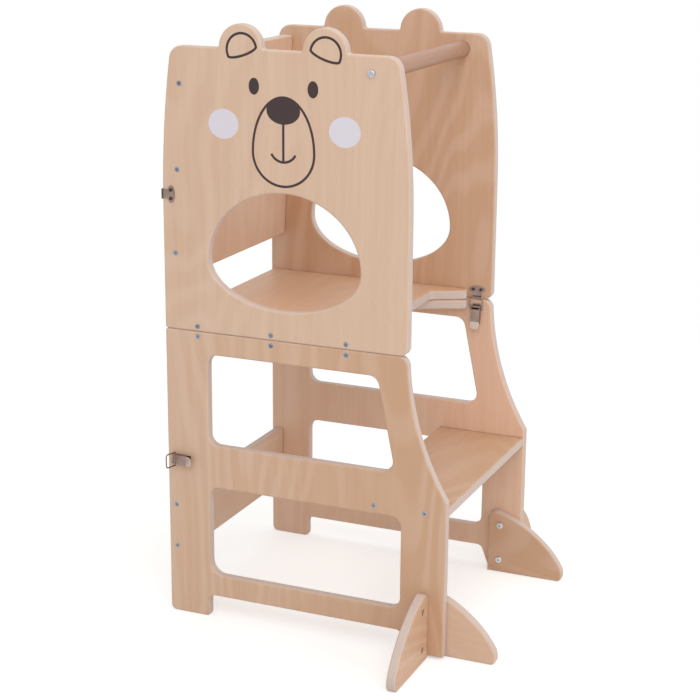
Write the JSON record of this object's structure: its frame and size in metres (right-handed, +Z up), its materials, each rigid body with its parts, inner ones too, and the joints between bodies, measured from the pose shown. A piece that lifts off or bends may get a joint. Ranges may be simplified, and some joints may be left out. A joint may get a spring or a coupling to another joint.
{
  "type": "toddler kitchen helper stool",
  "caption": "Plywood learning tower for a toddler: a stepped lower box and a railed upper box with ears that folds back on hinges into a table and seat; draw latches hold it.",
  "frame": {"origin": "on the floor under the middle of the bounding box, with the stool as a tower", "axes": "+Z up, -Y the open side with the step, +Y the hinged back, X across"},
  "size_m": [0.6274, 0.5262, 0.898],
  "materials": {
    "birch_ply": "clear matt varnish on birch plywood, bare layered edges",
    "beech": "clear matt varnish on a turned rail",
    "zinc": "zinc plated steel",
    "nickel": "nickel plated steel",
    "hinge_steel": "nickel plated steel"
  },
  "bodies": {
    "upper_box": {"back_board_screws": "zinc", "floor_board_screws": "zinc", "hinge_upper_leaf_left": "hinge_steel", "hinge_upper_leaf_right": "hinge_steel", "hinge_upper_screws": "zinc", "table_keeper_screws": "zinc", "table_latch_left_keeper": "nickel", "table_latch_right_keeper": "nickel", "top_rail": "beech", "top_rail_bolts": "zinc", "tower_keeper_screws": "zinc", "tower_latch_left_keeper": "nickel", "tower_latch_right_keeper": "nickel", "upper_back_board": "birch_ply", "upper_floor_board": "birch_ply", "upper_side_left": "birch_ply", "upper_side_right": "birch_ply"},
    "lower_box": {"back_rail_screws": "zinc", "barrel_nuts": "zinc", "fin_bolts": "zinc", "forward_fin_left": "birch_ply", "forward_fin_right": "birch_ply", "hinge_lower_leaf_left": "hinge_steel", "hinge_lower_leaf_right": "hinge_steel", "hinge_lower_screws": "zinc", "hinge_pin_left": "hinge_steel", "hinge_pin_right": "hinge_steel", "latch_base_screws": "zinc", "lower_back_rail": "birch_ply", "lower_side_left": "birch_ply", "lower_side_right": "birch_ply", "lower_top_board": "birch_ply", "outward_fin_left": "birch_ply", "outward_fin_right": "birch_ply", "step_board": "birch_ply", "step_board_screws": "zinc", "table_latch_left_base": "nickel", "table_latch_left_pin": "nickel", "table_latch_right_base": "nickel", "table_latch_right_pin": "nickel", "top_board_screws": "zinc", "tower_latch_left_base": "nickel", "tower_latch_left_pin": "nickel", "tower_latch_right_base": "nickel", "tower_latch_right_pin": "nickel"},
    "table_latch_left_bail": {"table_latch_left_bail": "nickel"},
    "table_latch_left_lever": {"table_latch_left_lever": "nickel"},
    "table_latch_right_bail": {"table_latch_right_bail": "nickel"},
    "table_latch_right_lever": {"table_latch_right_lever": "nickel"},
    "tower_latch_left_bail": {"tower_latch_left_bail": "nickel"},
    "tower_latch_left_lever": {"tower_latch_left_lever": "nickel"},
    "tower_latch_right_bail": {"tower_latch_right_bail": "nickel"},
    "tower_latch_right_lever": {"tower_latch_right_lever": "nickel"}
  },
  "joints": [
    {"name": "upper_fold", "type": "hinge", "parent": "lower_box", "child": "upper_box", "pos_m": [0, 0.259, 0.45], "axis": [-1, 0, 0], "range_deg": [0, 180]},
    {"name": "tower_latch_left_lever_turn", "type": "hinge", "parent": "lower_box", "child": "tower_latch_left_lever", "pos_m": [-0.1684, -0.1025, 0.438], "axis": [0, -1, 0], "range_deg": [0, 110]},
    {"name": "tower_latch_left_bail_swing", "type": "hinge", "parent": "tower_latch_left_lever", "child": "tower_latch_left_bail", "pos_m": [-0.16873, -0.1025, 0.43421], "axis": [0, 1, 0], "range_deg": [0, 154]},
    {"name": "tower_latch_right_lever_turn", "type": "hinge", "parent": "lower_box", "child": "tower_latch_right_lever", "pos_m": [0.1684, -0.1025, 0.438], "axis": [0, 1, 0], "range_deg": [0, 110]},
    {"name": "tower_latch_right_bail_swing", "type": "hinge", "parent": "tower_latch_right_lever", "child": "tower_latch_right_bail", "pos_m": [0.16873, -0.1025, 0.43421], "axis": [0, -1, 0], "range_deg": [0, 154]},
    {"name": "table_latch_left_lever_turn", "type": "hinge", "parent": "lower_box", "child": "table_latch_left_lever", "pos_m": [-0.1926, 0.247, 0.249], "axis": [0, 0, -1], "range_deg": [0, 110]},
    {"name": "table_latch_left_bail_swing", "type": "hinge", "parent": "table_latch_left_lever", "child": "table_latch_left_bail", "pos_m": [-0.19227, 0.24321, 0.249], "axis": [0, 0, 1], "range_deg": [0, 60]},
    {"name": "table_latch_right_lever_turn", "type": "hinge", "parent": "lower_box", "child": "table_latch_right_lever", "pos_m": [0.1926, 0.247, 0.249], "axis": [0, 0, 1], "range_deg": [0, 110]},
    {"name": "table_latch_right_bail_swing", "type": "hinge", "parent": "table_latch_right_lever", "child": "table_latch_right_bail", "pos_m": [0.19227, 0.24321, 0.249], "axis": [0, 0, -1], "range_deg": [0, 60]}
  ],
  "couplings": [
    {"joint": "tower_latch_left_bail_swing", "follows": "tower_latch_left_lever_turn", "ratio": 1.4},
    {"joint": "tower_latch_right_bail_swing", "follows": "tower_latch_right_lever_turn", "ratio": 1.4},
    {"joint": "table_latch_left_bail_swing", "follows": "table_latch_left_lever_turn", "ratio": 0.54},
    {"joint": "table_latch_right_bail_swing", "follows": "table_latch_right_lever_turn", "ratio": 0.54}
  ]
}
